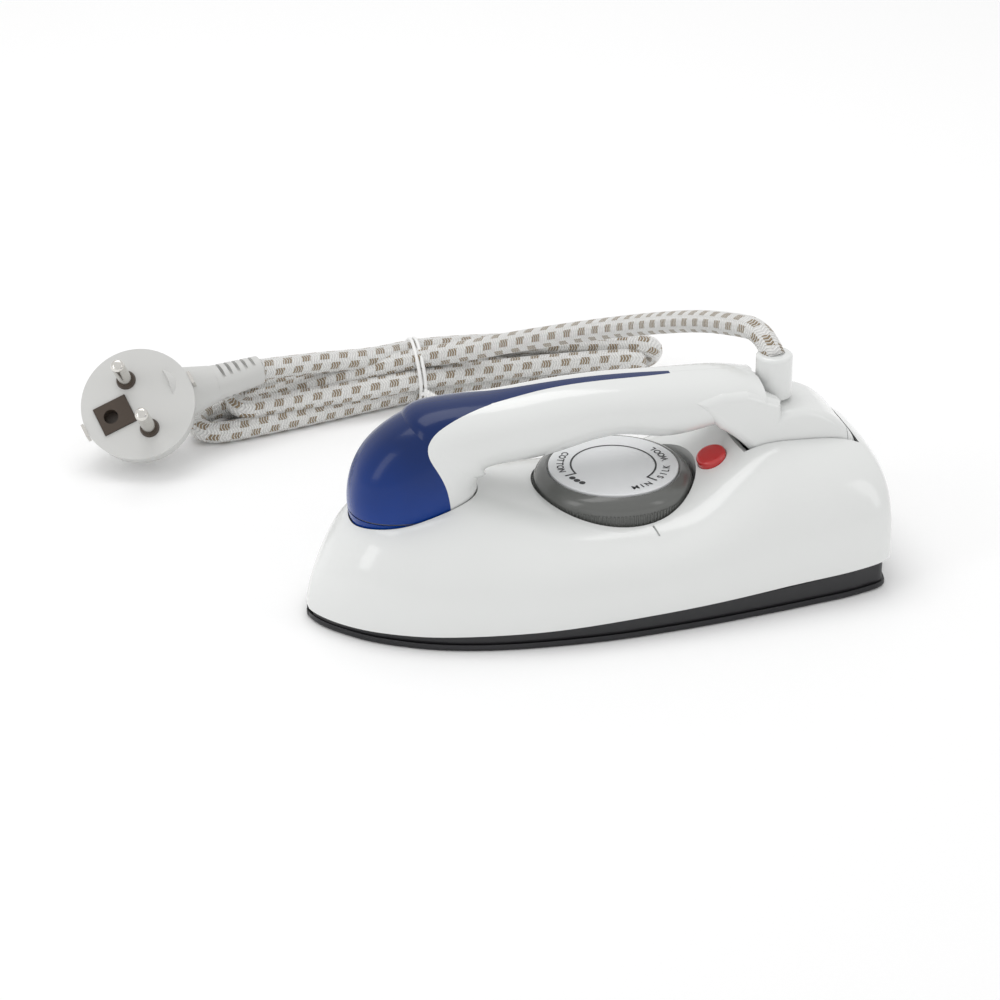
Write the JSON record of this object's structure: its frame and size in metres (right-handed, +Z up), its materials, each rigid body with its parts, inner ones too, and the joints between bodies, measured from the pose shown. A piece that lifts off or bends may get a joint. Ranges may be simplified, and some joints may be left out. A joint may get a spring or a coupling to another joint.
{
  "type": "folding travel steam iron",
  "caption": "Compact travel steam iron with a folding handle that holds the water tank, a round heat dial and a braided mains lead tied in a hank with an earthed plug.",
  "frame": {"origin": "on the floor, under the middle of the iron's own box without its mains lead", "axes": "-X towards the nose, +X towards the heel, -Y is the side of the dial's pointer mark, +Z up from the soleplate"},
  "size_m": [0.2342, 0.196, 0.0799],
  "materials": {
    "sole_metal": "satin",
    "heater_steel": "satin",
    "dark_base": "satin",
    "white_shell": "gloss",
    "screw_steel": "gloss",
    "red_lens": "gloss",
    "lamp_glass": "gloss",
    "inner_nylon": "matte",
    "grey_knob": "satin",
    "blue_tank": "gloss",
    "seal_rubber": "matte",
    "lead_sleeve": "matte",
    "braid": "matte",
    "tie_wire": "satin",
    "plug_grey": "satin",
    "pin_chrome": "gloss",
    "plug_brown": "satin"
  },
  "bodies": {
    "base": {"soleplate": "sole_metal", "heating_rod": "heater_steel", "chamber_lid": "sole_metal", "heat_shield": "dark_base", "body_shell": "white_shell", "body_screws": "screw_steel", "indicator_lens": "red_lens", "indicator_lamp": "lamp_glass", "thermostat": "heater_steel", "thermal_fuse": "inner_nylon", "terminal_block": "inner_nylon", "hinge_pin": "screw_steel", "inlet_tube": "seal_rubber", "inner_leads": "lead_sleeve", "cord_exit_tube": "braid", "cord_plug_tube": "braid", "cord_hank": "braid", "cord_tie": "tie_wire", "plug_body": "plug_grey", "plug_relief": "plug_grey", "plug_pins": "pin_chrome", "plug_earth_socket": "plug_brown", "plug_earth_clips": "pin_chrome"},
    "handle": {"handle_left_shell": "white_shell", "handle_right_shell": "white_shell", "foot_end_cap": "white_shell", "handle_screws": "screw_steel", "water_tank": "blue_tank", "tank_gasket": "seal_rubber", "tank_cap": "white_shell", "cord_bush": "white_shell"},
    "dial": {"dial_ring": "grey_knob", "dial_disc": "white_shell", "dial_spindle": "screw_steel"}
  },
  "joints": [
    {"name": "handle_fold", "type": "hinge", "parent": "base", "child": "handle", "pos_m": [0.065, 0, 0.034], "axis": [0, 1, 0], "range_deg": [0, 28], "deforming": ["cord_exit_tube"]},
    {"name": "dial_turn", "type": "hinge", "parent": "base", "child": "dial", "pos_m": [0.0085, 0, 0.0394], "axis": [0, 0, 1], "range_deg": [-267, 0]}
  ]
}
